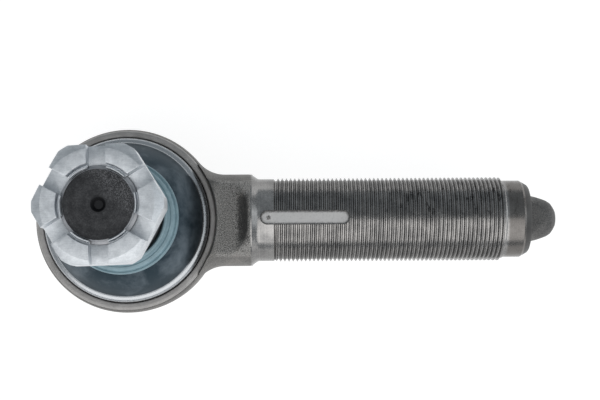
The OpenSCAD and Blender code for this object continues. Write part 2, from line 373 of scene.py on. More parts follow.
def forged_steel(name, dark, light, pit_depth):
    """Scaled forging, gritty on the web's flat, with painted shade in its hollow."""
    bench = Bench(name)
    grain = bench.noise(2.4, detail=6.0, roughness=0.7)
    speck = bench.noise(3.4, detail=2.0).between(0.36, 0.64)
    patches = bench.noise(0.16, detail=3.0)
    scale = bench.cells(1.1)
    gritty = window(bench.x, *WEB_FLAT_X) * bench.z.between(*WEB_FLAT_Z)
    # painted shade: the scoop behind the flat is darkened nearly to black
    hollow_shade = (window(bench.x, *HOLLOW_X) * (bench.z > HOLLOW_Z)
              * abs(bench.y).between(HOLLOW_Y[1], HOLLOW_Y[0]))
    tone = (grain.between(0.32, 0.68) * 0.5 + patches * 0.5
            + gritty * ((speck - 0.45) * 1.3 + 0.28) - hollow_shade * 0.95)
    colour = tone.between(0.05, 0.95).blend(dark, light)
    bright = gritty * speck * (1 - hollow_shade) * 0.42
    colour = bright.blend(colour, (0.55, 0.545, 0.53))
    stain = patches.between(0.56, 0.74) * 0.45
    rust = stain.blend((0, 0, 0, 0), (0.03, 0.015, 0.005))
    tinted = colour.node("Mix", {"data_type": "RGBA", "blend_type": "ADD"},
                         {"Factor": 1.0, 6: colour, 7: rust}, out=2)
    height = grain * 0.6 + scale.between(0.0, 0.6) * 0.3 + gritty * speck
    return bench.finish(base_color=tinted, metallic=0.85,
                        roughness=0.46 + grain * 0.2,
                        normal=bench.relief(height, pit_depth))


forged = forged_steel("forged_steel", (0.08, 0.079, 0.077),
                      (0.28, 0.273, 0.263), 0.12)
stub_steel = forged_steel("stub_steel", (0.06, 0.06, 0.06),
                          (0.19, 0.188, 0.185), 0.08)
print("made", forged.name, "and", stub_steel.name)

# %% [markdown]
# ## The forged body
# The eye, the web and the collar are one forging with soft corners. A turned
# ring and a lofted web are joined, then remeshed on a fine grid, which welds
# them as the die does and rounds every corner. Smoothing takes the grid's
# steps out. The flat and its scoop are cut before that, so they end softly. The
# recess is turned afterwards, so its edge is crisp, as the cutter's is.

# %% The web as a loft
WEB_R = 16.5
FILLET_R = 12.0
COLLAR_END = 44.7
LOFT_STEPS = 12
web_y = WEB_R + FILLET_R
web_x = math.sqrt((eye_r + FILLET_R) ** 2 - web_y ** 2)


def web_spread(x):
    """How far the bar's two halves stand apart at x, to blend into the eye."""
    if x >= web_x:
        return 0.0
    return FILLET_R - math.sqrt(FILLET_R ** 2 - (web_x - x) ** 2)


def web_loft():
    """A bar's circle, extruded along X and spread sideways towards the eye."""
    shape = bmesh.new()
    upright = Matrix.Rotation(math.pi / 2, 4, "Y")
    ring = bmesh.ops.create_circle(shape, cap_ends=False, segments=96,
                                   radius=WEB_R * MM, matrix=upright)["verts"]
    bmesh.ops.translate(shape, verts=ring, vec=(COLLAR_END * MM, 0, 0))
    touch_x = web_x * eye_r / (eye_r + FILLET_R)
    stations = [web_x + (touch_x - web_x) * step / LOFT_STEPS
                for step in range(LOFT_STEPS + 1)]
    edges = shape.edges[:]
    for x in stations:
        grown = bmesh.ops.extrude_edge_only(shape, edges=edges)["geom"]
        ring = [g for g in grown if isinstance(g, bmesh.types.BMVert)]
        edges = [g for g in grown if isinstance(g, bmesh.types.BMEdge)]
        here = ring[0].co.x
        spread = (web_spread(x) - web_spread(here / MM)) * MM
        for v in ring:
            v.co.x = x * MM
            if abs(v.co.y) > WELD:
                v.co.y += math.copysign(spread, v.co.y)
    bmesh.ops.holes_fill(shape, edges=shape.edges[:], sides=0)
    bmesh.ops.recalc_face_normals(shape, faces=shape.faces[:])
    return shape


# %% Eye ring and web
RING_IN, RING_TOP = 27.5, 4.3
barrel = turned([(RING_IN, eye_low + 0.05), (29.4, eye_low + 0.05),
                 (31.2, eye_low + 1.4), (32.0, eye_low + 4), (eye_r - 0.4, -14),
                 (eye_r - 0.1, -7), (eye_r, -3), (eye_r, 0.6), (eye_r - 0.25, 2.2),
                 (eye_r - 0.6, 3.2), (eye_r - 0.85, 3.9), (31.4, RING_TOP),
                 (RING_IN, RING_TOP)])
body_forging = object_of(barrel, "eye_forging")
combined(body_forging, object_of(web_loft(), "web"), "UNION")
print("eye and web", len(body_forging.data.polygons), "faces")

# %% The flat with its scoop, and the weld
RIDGE_SEAM, CUT_FROM, CUT_TO = 32.15, -5.0, WEB_R + 0.6
FLAT_Z, FLAT_TO, RAMP_TO = 10.9, 38.6, 43.4
GRID = 0.46
scoop = turned([(0, CUT_FROM), (RIDGE_SEAM - 1, CUT_FROM), (RIDGE_SEAM - 1, FLAT_Z),
                (FLAT_TO, FLAT_Z), (FLAT_TO + 1.5, FLAT_Z + 0.3),
                (FLAT_TO + 2.8, FLAT_Z + 1.2), (FLAT_TO + 3.8, FLAT_Z + 2.7),
                (FLAT_TO + 4.4, FLAT_Z + 4.4), (RAMP_TO, CUT_TO), (0, CUT_TO)],
               steps=192)
combined(body_forging, object_of(scoop, "scoop"), "DIFFERENCE")
remesh = body_forging.modifiers.new("weld", "REMESH")
remesh.mode, remesh.voxel_size = "VOXEL", GRID * MM
remesh.use_smooth_shade = True
soften = body_forging.modifiers.new("soften", "SMOOTH")
soften.factor, soften.iterations = 0.5, 8
with_modifiers(body_forging)
print("forging", len(body_forging.data.polygons), "faces after the weld")

# %% The turned recess
recess_cutter = turned([(0, CUT_FROM), (RIDGE_SEAM, CUT_FROM),
                        (RIDGE_SEAM, FLAT_Z - 0.4),
                        (RIDGE_SEAM + 0.6, FLAT_Z + 0.2),
                        (RIDGE_SEAM + 0.6, CUT_TO), (0, CUT_TO)], steps=256)
combined(body_forging, object_of(recess_cutter, "recess"), "DIFFERENCE")
hand_over(body_forging, forged, "housing", ["housing"])

# %% [markdown]
# ## The turned inside of the eye
# The eye is bored, recessed and faced on a lathe in one setting. Its whole
# section is one outline: the snap ring's groove and the cover's step below,
# the seat pocket, the mouth, the ball-shaped shoulder that the cap slides on,
# and the recess with its rounded ridge. The recess's wall is part of a sphere
# round the ball's centre too, so the cap's rim swings past it with a thin gap.

# %% Bored eye
SHOULDER_R, SHOULDER_TOP = 26.4, 16.5
RECESS_R, RECESS_FLOOR = 29.95, -5.6
RIDGE_TOP, RIDGE_R = 5.2, 31.1
SEAT_R, COVER_R, GROOVE_R = 22.5, 24.5, 26.2
COVER_STEP, COVER_LOW, RING_T = -20.5, -23.5, 2.0
MOUTH = (16.6, 15.2)
mouth_angle = math.degrees(math.asin(MOUTH[1] / SEAT_R))
wall_from = math.degrees(math.asin((RIDGE_TOP - 0.6) / RECESS_R))
wall_to = math.degrees(math.asin(RECESS_FLOOR / RECESS_R))
top_angle = math.degrees(math.asin(SHOULDER_TOP / SHOULDER_R))
EYE_WALL = (30.6, -24.0), (30.9, 3.9)
bored = turned(
    [(COVER_R, eye_low), (29.0, eye_low), *EYE_WALL, (RIDGE_SEAM - 0.05, 4.0),
     (31.75, RIDGE_TOP - 0.35), (31.4, RIDGE_TOP - 0.05), (RIDGE_R, RIDGE_TOP),
     (30.1, RIDGE_TOP - 0.05), (29.75, RIDGE_TOP - 0.2)]
    + arc(RECESS_R, wall_from, wall_to, 12)
    + [(SHOULDER_R, RECESS_FLOOR)]
    + arc(SHOULDER_R, 0, top_angle, 16)
    + [(18.4, SHOULDER_TOP)]
    + arc(SEAT_R, mouth_angle, 0, 12)
    + [(SEAT_R, COVER_STEP), (COVER_R, COVER_STEP), (COVER_R, COVER_LOW),
       (GROOVE_R, COVER_LOW), (GROOVE_R, COVER_LOW - RING_T),
       (COVER_R, COVER_LOW - RING_T)], rounding=0.12)
print("ridge", RIDGE_TOP, "mm above the ball's centre")

# %% [markdown]
# ## The finish of turned steel
# A cutting tool leaves rings, all of one depth and never quite alike. So the
# noise is read from the distance to the axis and the place along it. The same
# rings give the colour a fine streak and the surface a faint relief. The shank
# has more to show: oil on its thread, painted shade on its sides, a browner
# pilot, a bare keyway with painted shade along its edges, and forging scale
# again where its end meets the stub.

# %% Turned steel
THREAD_FROM, THREAD_TO, NOSE_SCALE_FROM = 52.7, 135.2, 141.1
KEY_FROM, KEY_TO, KEY_WIDE, KEY_FLOOR = 47.6, 79.1, 5.0, 13.0
OIL_X, OIL_Y, SHADED_SIDE_Y = (78.0, 104.0), (-3.0, 4.0), (8.0, 13.5)
key_middle = (KEY_FROM + KEY_TO) / 2
key_half = (KEY_TO - KEY_FROM - KEY_WIDE) / 2


def shank_marks(bench, colour, patches, grime):
    """The shank's marks: its colour, with painted shade on its sides and at the
    keyway's edges, and how much rougher they make it.
    """
    where = bench.x.between(*OIL_X) * bench.y.between(*OIL_Y)
    spots = bench.noise(0.42, detail=6.0, roughness=0.7, stretch=(1.6, 0.5, 0.5))
    oil = spots.between(0.55, 0.66) * (where * 0.75 + 0.1)
    colour = oil.blend(colour, (0.012, 0.012, 0.013))
    # painted shade: both sides of the shank, 8 to 13.5 mm off its middle, are darkened
    side_shade = abs(bench.y).between(*SHADED_SIDE_Y) * 0.6
    colour = side_shade.blend(colour, (0.085, 0.084, 0.083))
    pilot = bench.x.between(THREAD_TO - 0.6, THREAD_TO + 0.4) * 0.68
    colour = pilot.blend(colour, (0.10, 0.09, 0.082))
    scaled = bench.x.between(NOSE_SCALE_FROM, NOSE_SCALE_FROM + 0.4)
    colour = scaled.blend(colour, patches.blend((0.05, 0.05, 0.05),
                                                (0.12, 0.119, 0.117)))
    over = abs(bench.x - key_middle) - key_half
    past = over.maths("MAXIMUM", over, 0.0)
    apart = past.maths("SQRT", past * past + bench.y * bench.y)
    bare = ((apart < KEY_WIDE / 2 + 0.03) * (bench.z > KEY_FLOOR - 0.4)
            * (bench.z < KEY_FLOOR + 1.9))
    # painted shade: the keyway's floor is darkened within 1.2 mm of its edge
    lightened = apart.between(KEY_WIDE / 2, KEY_WIDE / 2 - 1.2)
    keyway_floor_with_edge_shade = (grime * 0.6 + lightened * 0.4).between(0.2, 0.75).blend(
        (0.09, 0.09, 0.09), (0.60, 0.595, 0.59))
    return bare.blend(colour, keyway_floor_with_edge_shade), bare * 0.2 + scaled * 0.2


def turned_steel(name, axis, dark, light, metallic=0.95, rough=0.22, marks=None):
    """Turned steel, with the marks that a function adds to its colour."""
    bench = Bench(name)
    lines = bench.lathe_lines(axis, 5.0)
    patches = bench.noise(0.22, detail=4.0)
    grime = bench.noise(1.6, detail=5.0, roughness=0.65)
    tone = lines * 0.35 + patches * 0.4 + grime * 0.3
    colour = tone.between(0.3, 0.75).blend(dark, light)
    surface = rough + grime * 0.22
    if marks:
        colour, rougher = marks(bench, colour, patches, grime)
        surface = surface + rougher
    return bench.finish(base_color=colour, metallic=metallic, roughness=surface,
                        normal=bench.relief(lines * 0.8 + grime * 0.2, 0.03))


eye_steel = turned_steel("turned_eye", "Z", (0.26, 0.255, 0.25), (0.46, 0.45, 0.44),
                         metallic=0.6, rough=0.45)
shank_steel = turned_steel("turned_shank", "X", (0.17, 0.17, 0.172),
                           (0.50, 0.49, 0.48), rough=0.15, marks=shank_marks)
hand_over(object_of(bored, "bored_eye"), eye_steel, "housing")

# %% [markdown]
# ## The thread of the shank
# A thread is one tooth wound round a rod. Spin does both at once: it turns the
# tooth's edges and adds a small rise at every step, so a copy of the turn
# starts exactly where the last one ended. Turning against the rise makes it
# left-handed, as one of a rod's two ends has to be. Two planes cut it to
# length, and at its ends no point may stand outside a cone, which chamfers it.

# %% A wound thread
THREAD_STEPS = 72


def cut_away(shape, at, outward):
    """Cuts a shape level at a height, and drops what lies outward of it."""
    bmesh.ops.bisect_plane(shape, geom=shape.verts[:] + shape.edges[:]
                           + shape.faces[:], dist=WELD / 10,
                           plane_co=(0, 0, at * MM), plane_no=(0, 0, outward),
                           clear_outer=True, clear_inner=False)


def wound_thread(crest, root, pitch, start, stop, hand, chamfers=(0.0, 0.0)):
    """A closed threaded rod along Z. hand is 1 for right, -1 for left."""
    flat, flank = pitch / 8, pitch * 5 / 16
    low = start - 2 * pitch
    tooth = [(root, flat), (crest, flat + flank), (crest, 2 * flat + flank),
             (root, pitch - flat), (root, pitch + flat)]
    shape = bmesh.new()
    points = [shape.verts.new((r * MM, 0, (low + z) * MM)) for r, z in tooth]
    wire = points + [shape.edges.new(pair) for pair in zip(points, points[1:])]
    turns = math.ceil((stop - start) / pitch) + 4
    bmesh.ops.spin(shape, geom=wire, cent=(0, 0, 0), axis=(0, 0, 1),
                   dvec=(0, 0, pitch / THREAD_STEPS * MM), angle=hand * math.tau,
                   steps=THREAD_STEPS, use_merge=False, use_normal_flip=False,
                   use_duplicate=False)
    one_turn = shape.verts[:] + shape.edges[:] + shape.faces[:]
    for turn in range(1, turns):
        copied = bmesh.ops.duplicate(shape, geom=one_turn)["geom"]
        bmesh.ops.translate(shape, vec=(0, 0, turn * pitch * MM), verts=[
            g for g in copied if isinstance(g, bmesh.types.BMVert)])
    bmesh.ops.remove_doubles(shape, verts=shape.verts[:], dist=WELD)
    for at, outward in ((start, -1), (stop, 1)):
        cut_away(shape, at, outward)
    for v in shape.verts:
        z, reach = v.co.z / MM, math.hypot(v.co.x, v.co.y) / MM
        limit = min(crest - chamfers[0] + z - start, crest - chamfers[1] + stop - z)
        if reach > limit:
            v.co.xy *= limit / reach
    open_ends = [e for e in shape.edges if e.is_boundary]
    bmesh.ops.holes_fill(shape, edges=open_ends, sides=0)
    bmesh.ops.recalc_face_normals(shape, faces=shape.faces[:])
    return shape


def along_x(shape):
    """Turns a shape made about Z to lie about X."""
    bmesh.ops.rotate(shape, verts=shape.verts[:], cent=(0, 0, 0),
                     matrix=Matrix.Rotation(math.pi / 2, 3, "Y"))
    return shape


# %% The shank
CREST_R, ROOT_R, PITCH = 15.0, 14.08, 1.5
NECK_R, PILOT_R, PILOT_TO, NOSE_R, NOSE_TO = 14.75, 13.8, 141.0, 12.1, 143.5
CORE_FROM, CORE_R = 42.5, 12.0
thread = along_x(wound_thread(CREST_R, ROOT_R, PITCH, THREAD_FROM - 0.6, THREAD_TO,
                              -1, chamfers=(1.3, 1.9)))
core = along_x(turned(
    [(0, CORE_FROM), (CORE_R, CORE_FROM), (CORE_R, 43.4), (WEB_R - 0.6, 44.1),
     (WEB_R - 0.05, 44.2), (WEB_R - 0.05, 44.65), (WEB_R - 0.35, COLLAR_END),
     (15.3, 45.9), (NECK_R + 0.12, 46.6), (NECK_R, 47.0),
     (NECK_R, THREAD_FROM - 0.35), (ROOT_R - 0.3, THREAD_FROM + 0.35),
     (ROOT_R - 0.3, THREAD_TO - 0.5), (PILOT_R, THREAD_TO - 0.2),
     (PILOT_R, PILOT_TO - 0.4), (PILOT_R - 0.25, PILOT_TO),
     (NOSE_R + 0.2, NOSE_TO - 0.3), (NOSE_R - 0.2, NOSE_TO), (0, NOSE_TO)],
    steps=96))
shank = combined(object_of(core, "shank"), object_of(thread, "thread"), "UNION")

# %% The keyway


def slot_cutter(start, stop, wide, low, high):
    """A round-ended bar from start to stop along X, for milling a keyway."""
    shape = bmesh.new()
    ring = bmesh.ops.create_circle(shape, cap_ends=True, segments=48,
                                   radius=wide / 2 * MM)["verts"]
    for v in ring:
        reach = stop - wide / 2 if v.co.x > 0 else start + wide / 2
        v.co.x += reach * MM
    bmesh.ops.translate(shape, verts=ring, vec=(0, 0, low * MM))
    grown = bmesh.ops.extrude_face_region(shape, geom=shape.faces[:])["geom"]
    raised = [g for g in grown if isinstance(g, bmesh.types.BMVert)]
    bmesh.ops.translate(shape, verts=raised, vec=(0, 0, (high - low) * MM))
    bmesh.ops.recalc_face_normals(shape, faces=shape.faces[:])
    return shape


mill = slot_cutter(KEY_FROM, KEY_TO, KEY_WIDE, KEY_FLOOR, CREST_R + 3)
combined(shank, object_of(mill, "mill"), "DIFFERENCE")
plunge = turned([(0, KEY_FLOOR - 0.7), (0.25, KEY_FLOOR - 0.7),
                 (1.0, KEY_FLOOR + 0.2), (0, KEY_FLOOR + 0.2)], steps=32)
bmesh.ops.translate(plunge, verts=plunge.verts[:],
                    vec=((KEY_FROM + KEY_WIDE / 2 + 0.4) * MM, 0, 0))
combined(shank, object_of(plunge, "plunge_mark"), "DIFFERENCE")
hand_over(shank, shank_steel, "housing", crease=28)

# %% [markdown]
# ## The centring stub
# The forging was held by a stub at this end while it was turned. It is a round
# nose with two flats, so a turned shape is cut by two planes, and a bevel
# breaks the edges that the cuts leave.

# %% The stub
STUB_HALF = 6.6
nose = along_x(turned([(0, NOSE_TO - 2), (9.6, NOSE_TO - 2), (9.5, NOSE_TO),
                       (9.1, 143.9), (8.1, 145.3), (7.75, 146.9), (7.2, 148.6),
                       (6.5, 150.5), (5.6, 151.9), (4.2, 152.9),
                       (2.8, stub_end - 0.05), (0, stub_end)], rounding=0.3,
                      steps=64))
for side in (-1, 1):
    cut_away(nose, side * STUB_HALF, side)
    bmesh.ops.holes_fill(nose, edges=[e for e in nose.edges if e.is_boundary],
                         sides=0)
bmesh.ops.recalc_face_normals(nose, faces=nose.faces[:])
stub = object_of(nose, "centring_stub")
broken_edges(stub, 0.5, 3, 35)
hand_over(stub, stub_steel, "housing")

# %% [markdown]
# ## The dust cap
# The cap is a spherical steel pressing that slides on the eye's shoulder. It
# is one closed section: the outer face, the inner face, and a rim that is
# turned outwards to stiffen it. The rim's round top meets the dome in a crease.

# %% Pressed cap
CAP_R, CAP_WALL, CREASE_R, CAP_MOUTH = 28.4, 1.0, 27.3, 17.2
inner_r = CAP_R - CAP_WALL
crease_lean = math.degrees(math.acos((CREASE_R - 0.1) / CAP_R))
rim_lean = math.degrees(math.asin(cap_rim_z / inner_r))


def lean_at_mouth(radius):
    """Where an arc of a radius meets the cap's mouth, in degrees."""
    return math.degrees(math.acos(CAP_MOUTH / radius))


cap_shape = turned(
    [(flange_r - 1.9, cap_rim_z), (flange_r - 0.1, cap_rim_z), (flange_r, 5.0),
     (flange_r, 5.7), (flange_r - 0.1, 6.25), (flange_r - 0.35, 6.75),
     (flange_r - 0.8, 7.15), (flange_r - 1.3, 7.4), (CREASE_R + 0.3, 7.6),
     (CREASE_R + 0.05, 7.8)]
    + arc(CAP_R, crease_lean, lean_at_mouth(CAP_R), 24)
    + arc(inner_r, lean_at_mouth(inner_r), rim_lean, 20), rounding=0.05, steps=192)


def cap_finish():
    """Dark chromate: blue-black and cloudy, with painted light towards +X and painted
    shade towards ±Y, and brighter metal at the rim.
    """
    bench = Bench("chromated_cap")
    reach = bench.from_stud_axis()
    cloud = bench.noise(0.09, detail=4.0, distortion=0.6)
    smudge = bench.noise(0.45, detail=5.0, roughness=0.6)
    fine = bench.noise(3.5, detail=3.0)
    tone = cloud * 0.65 + smudge * 0.3 + fine * 0.05
    # painted light towards +X and painted shade towards ±Y on the dome
    side_light_and_shade = (bench.x.between(18.0, 26.0) * 0.09
            - abs(bench.y).between(14.0, 24.0) * 0.1)
    dome = (tone + side_light_and_shade).between(0.36, 0.7).blend((0.032, 0.05, 0.064),
                                                  (0.125, 0.155, 0.18))
    # brighter metal all round the rim, outside the crease
    bright_rim = (reach + fine * 0.15).between(CREASE_R - 0.15, CREASE_R + 0.1)
    colour = bright_rim.blend(dome, (0.48, 0.5, 0.52))
    return bench.finish(base_color=colour, metallic=0.95,
                        roughness=0.4 + smudge * 0.16 - bright_rim * 0.2,
                        normal=bench.relief(smudge * 0.6 + fine * 0.4, 0.02))


hand_over(object_of(cap_shape, "cap"), cap_finish(), "cap", ["dust_cap"])

# %% [markdown]
# ## The neck seal
# The seal is moulded in a soft grey-green plastic, and its lip is ringed like
# a bellows. Every ring is a corner pair in the section, rounded a little, so
# the light draws fine circles on it.

# %% Ringed seal
SEAL_BORE, SEAL_LOW, SEAL_TOP = 14.45, 22.9, 26.6
ringed = [(SEAL_BORE, SEAL_TOP - 2.2), (SEAL_BORE, SEAL_LOW), (17.0, 21.0),
          (17.0, 22.9), (19.8, 20.45), (19.8, 23.3), (19.3, 23.9), (18.9, 23.5),
          (18.5, 24.3), (18.0, 25.1), (17.4, 25.3), (17.1, 25.1), (16.7, 25.9),
          (15.9, 26.5), (15.3, SEAL_TOP), (15.1, SEAL_TOP - 0.3)]
seal_shape = turned(ringed, rounding=0.14, steps=160)


def seal_finish():
    """Soft plastic with fine moulded rings and a little dust."""
    bench = Bench("moulded_seal")
    rings = bench.lathe_lines("Z", 2.6)
    dust = bench.noise(1.3, detail=5.0, roughness=0.65)
    patches = bench.noise(0.3, detail=3.0)
    tone = rings * 0.8 + dust * 0.25 + patches * 0.3
    colour = tone.between(0.45, 0.95).blend((0.13, 0.21, 0.25),
                                            (0.28, 0.41, 0.46))
    return bench.finish(base_color=colour, roughness=0.38 + dust * 0.25,
                        specular_ior_level=0.6,
                        normal=bench.relief(rings * 0.7 + dust * 0.3, 0.06))


hand_over(object_of(seal_shape, "ringed_seal"), seal_finish(), "cap",
          ["neck_seal"])

# %% [markdown]
# ## The stud
# Ball, neck, taper and thread are one turned bar. It is blacked before its
# thread is cut, so the thread is bright and the end face is black. The thread
# is wound like the shank's, but right-handed. The drilled centre in the end
# face belongs to the section, and the cross hole for a cotter pin is cut last.

# %% Stud body and thread
BALL_R, BALL_FLAT, STUD_NECK_R, NECK_TO = 19.0, -18.0, 10.5, 20.3
TAPER_FROM, TAPER_R, TAPER_END, TAPER_END_R = 27.0, 14.4, 51.8, 12.85
STUD_CREST, STUD_ROOT, STUD_FROM = 12.0, 11.08, 52.5
STUD_TO, DRILL_R = stud_top - 1.3, 2.3
ball = arc(BALL_R, math.degrees(math.asin(BALL_FLAT / BALL_R)),
           math.degrees(math.acos(STUD_NECK_R / BALL_R)), 40)
stud_body = turned(
    [(0, BALL_FLAT)] + ball
    + [(STUD_NECK_R, NECK_TO), (11.0, 21.1), (12.1, 21.8), (TAPER_R, SEAL_LOW),
       (TAPER_R, TAPER_FROM), (TAPER_END_R, TAPER_END),
       (STUD_ROOT - 0.2, STUD_FROM), (STUD_ROOT - 0.2, STUD_TO - 0.3),
       (STUD_ROOT - 0.03, STUD_TO), (STUD_ROOT - 0.03, stud_top - 0.6),
       (STUD_ROOT - 0.15, stud_top - 0.25), (STUD_ROOT - 0.45, stud_top),
       (DRILL_R, stud_top), (DRILL_R - 0.15, stud_top - 0.15),
       (1.1, stud_top - 1.9), (1.0, stud_top - 3.9), (0, stud_top - 4.4)],
    steps=96)
stud = object_of(stud_body, "stud")
winding = wound_thread(STUD_CREST, STUD_ROOT, PITCH, STUD_FROM, STUD_TO - 0.2, 1,
                       chamfers=(0.4, 0.9))
combined(stud, object_of(winding, "winding"), "UNION")

# %% Cotter pin hole
PIN_HOLE_R, PIN_HOLE_Z = 2.5, stud_top - 15.5
cross = turned([(0, -14), (PIN_HOLE_R, -14), (PIN_HOLE_R, 14), (0, 14)], steps=32)
bmesh.ops.rotate(cross, verts=cross.verts[:], cent=(0, 0, 0),
                 matrix=Matrix.Rotation(math.pi / 2, 3, "X"))
bmesh.ops.translate(cross, verts=cross.verts[:], vec=(0, 0, PIN_HOLE_Z * MM))
combined(stud, object_of(cross, "cross_drill"), "DIFFERENCE")


def blacked_steel():
    """Black oxide, rubbed at one side of the end face, bare on the thread, with painted
    shade in the drilled centre.
    """
    bench = Bench("blacked_steel")
    lines = bench.lathe_lines("Z", 3.2)
    grain = bench.noise(2.2, detail=6.0, roughness=0.7)
    patches = bench.noise(0.28, detail=3.0)
    corner = (bench.x + bench.y).between(1.0, 13.0) * (bench.z > stud_top - 1)
    lightened = corner * bench.noise(4.2, detail=3.0).between(0.5, 0.62)
    tone = grain * 0.5 + lines * 0.15 + patches * 0.35 + lightened * 0.5
    reach = bench.from_stud_axis()
    # painted shade: the drilled centre is darkened
    drill_shade = (reach < DRILL_R + 0.1) * (bench.z > stud_top - 5)
    bare = (reach + grain * 0.2).between(10.75, 11.0) * (bench.z > STUD_FROM - 1)
    colour = (tone - drill_shade * 0.6).between(0.35, 1.0).blend((0.014, 0.015, 0.017),
                                                            (0.16, 0.162, 0.17))
    colour = bare.blend(colour, (0.42, 0.43, 0.45))
    return bench.finish(base_color=colour, metallic=0.6,
                        roughness=0.36 + grain * 0.25,
                        normal=bench.relief(grain * 0.7 + lines * 0.3, 0.08))


hand_over(stud, blacked_steel(), "stud", ["ball_stud"], crease=28)

# %% [markdown]
# ## The slotted nut
# A slotted nut is a hexagon bar crossed with a drum, whose cones put the
# chamfers on its corners and whose side takes their points off. Then it is
# bored, with a groove behind the slots, and sawn across three times. The same
# cuts are made here. A narrow bevel stands for the tumbled edges.

# %% Hexagon, drum, bore and slots
NUT_BORE, COUNTERSINK, FACE_R = 11.19, 12.7, 17.1
SLOT_WIDE, SLOT_DEEP, SAW_LONG, CORNER_CUT = 5.8, 6.0, 60, 19.9
NUT_TURN = math.radians(1.9)
corner_r = nut_flats / math.sqrt(3)
fall = math.tan(math.radians(30))


def prism(sides, across_corners_r, low, high):
    """An upright bar with a number of sides."""
    shape = bmesh.new()
    bmesh.ops.create_circle(shape, cap_ends=True, segments=sides,
                            radius=across_corners_r * MM,
                            matrix=Matrix.Translation((0, 0, low * MM)))
    grown = bmesh.ops.extrude_face_region(shape, geom=shape.faces[:])["geom"]
    raised = [g for g in grown if isinstance(g, bmesh.types.BMVert)]
    bmesh.ops.translate(shape, verts=raised, vec=(0, 0, (high - low) * MM))
    bmesh.ops.recalc_face_normals(shape, faces=shape.faces[:])
    return shape


bar = prism(6, corner_r, nut_low - 1, nut_top + 1)
first = min(bar.verts, key=lambda v: abs(v.co.y)).co
bmesh.ops.rotate(bar, verts=bar.verts[:], cent=(0, 0, 0),
                 matrix=Matrix.Rotation(-math.atan2(first.y, first.x), 3, "Z"))
drop = (CORNER_CUT - FACE_R) * fall
drum = turned([(0, nut_low), (FACE_R, nut_low), (CORNER_CUT, nut_low + drop),
               (CORNER_CUT, nut_top - drop), (FACE_R, nut_top), (0, nut_top)],
              steps=96)
nut = combined(object_of(bar, "nut"), object_of(drum, "drum"), "INTERSECT")
bore = turned([(0, nut_low - 1), (COUNTERSINK + 1, nut_low - 1),
               (COUNTERSINK, nut_low), (STUD_CREST + 0.08, nut_low + 0.6),
               (STUD_CREST + 0.08, STUD_TO), (NUT_BORE, STUD_TO + 0.6),
               (NUT_BORE, nut_top - 1.0), (NUT_BORE + 0.1, nut_top - 0.8),
               (NUT_BORE + 0.45, nut_top - 0.8), (NUT_BORE + 0.6, nut_top - 3.4),
               (COUNTERSINK - 0.3, nut_top - 3.4),
               (COUNTERSINK - 0.15, nut_top - 0.2), (COUNTERSINK, nut_top),
               (COUNTERSINK, nut_top + 1), (0, nut_top + 1)], steps=96)
combined(nut, object_of(bore, "bore"), "DIFFERENCE")
for angle in (30, 90, 150):
    saw = prism(4, math.sqrt(0.5), 0, 1)
    bmesh.ops.rotate(saw, verts=saw.verts[:], cent=(0, 0, 0),
                     matrix=Matrix.Rotation(math.pi / 4, 3, "Z"))
    bmesh.ops.scale(saw, verts=saw.verts[:],
                    vec=(SAW_LONG, SLOT_WIDE, SLOT_DEEP + 2))
    bmesh.ops.rotate(saw, verts=saw.verts[:], cent=(0, 0, 0),
                     matrix=Matrix.Rotation(math.radians(angle), 3, "Z"))
    bmesh.ops.translate(saw, verts=saw.verts[:],
                        vec=(0, 0, (nut_top - SLOT_DEEP) * MM))
    combined(nut, object_of(saw, "saw"), "DIFFERENCE")
print("nut", len(nut.data.polygons), "faces before its edges are broken")

# %% Broken edges and bright zinc
broken_edges(nut, 0.22, 2, 24)
nut.data.transform(Matrix.Rotation(NUT_TURN, 4, "Z"))


def bright_zinc(name, dark, light, rough=0.38, relief=0.05):
    """Plated zinc: pale, clouded with white bloom, and finely pitted."""
    bench = Bench(name)
    bloom = bench.noise(0.35, detail=5.0, roughness=0.6, distortion=0.4)
    grain = bench.noise(3.0, detail=4.0)
    brush = bench.noise(1.2, detail=4.0, stretch=(0.25, 3.0, 0.25))
    tone = bloom * 0.5 + grain * 0.25 + brush * 0.25
    colour = tone.between(0.3, 0.75).blend(dark, light)
    return bench.finish(base_color=colour, metallic=0.9,
                        roughness=rough + bloom * 0.2,
                        normal=bench.relief(grain * 0.6 + brush * 0.4, relief))


nut_zinc = bright_zinc("zinc_nut", (0.50, 0.53, 0.56), (0.80, 0.83, 0.86))
hand_over(nut, nut_zinc, "nut", ["castle_nut"], crease=24)

# %% [markdown]
# ## The underside
# A plated cover closes the eye's bottom, a snap ring holds it in its groove,
# and a grease nipple is screwed into the cover's boss. All are small turned
# pieces. The nipple's hexagon is a bar crossed with a cone, like the nut.

# %% Cover
COVER_OUT, BOSS_R, BOSS_LOW, NIPPLE_R = 24.4, 9.0, -28.0, 5.0
cover = turned([(NIPPLE_R + 0.05, COVER_STEP), (NIPPLE_R + 0.05, BOSS_LOW),
                (BOSS_R, BOSS_LOW), (BOSS_R + 0.6, COVER_LOW - 1.2),
                (BOSS_R + 2.0, COVER_LOW), (COVER_OUT, COVER_LOW),
                (COVER_OUT, -22.8), (COVER_OUT - 1.75, -22.8),
                (COVER_OUT - 1.75, -21.2), (COVER_OUT, -21.2),
                (COVER_OUT, COVER_STEP)], rounding=0.3, steps=128)
cover_zinc = bright_zinc("zinc_cover", (0.34, 0.33, 0.28), (0.62, 0.60, 0.52))
hand_over(object_of(cover, "cover"), cover_zinc, "housing",
          ["end_cover"])

# %% Snap ring
SNAP_IN, SNAP_OUT, SNAP_GAP, PLIER_R, PLIER_AT = 21.0, 26.1, 2.0, 1.1, 11.0
CUT_LOW, CUT_HIGH = -30, -20
snap = object_of(turned([(SNAP_IN, COVER_LOW - RING_T), (SNAP_OUT, COVER_LOW - RING_T),
                         (SNAP_OUT, COVER_LOW), (SNAP_IN, COVER_LOW)], rounding=0.25,
                        steps=128), "snap_ring")


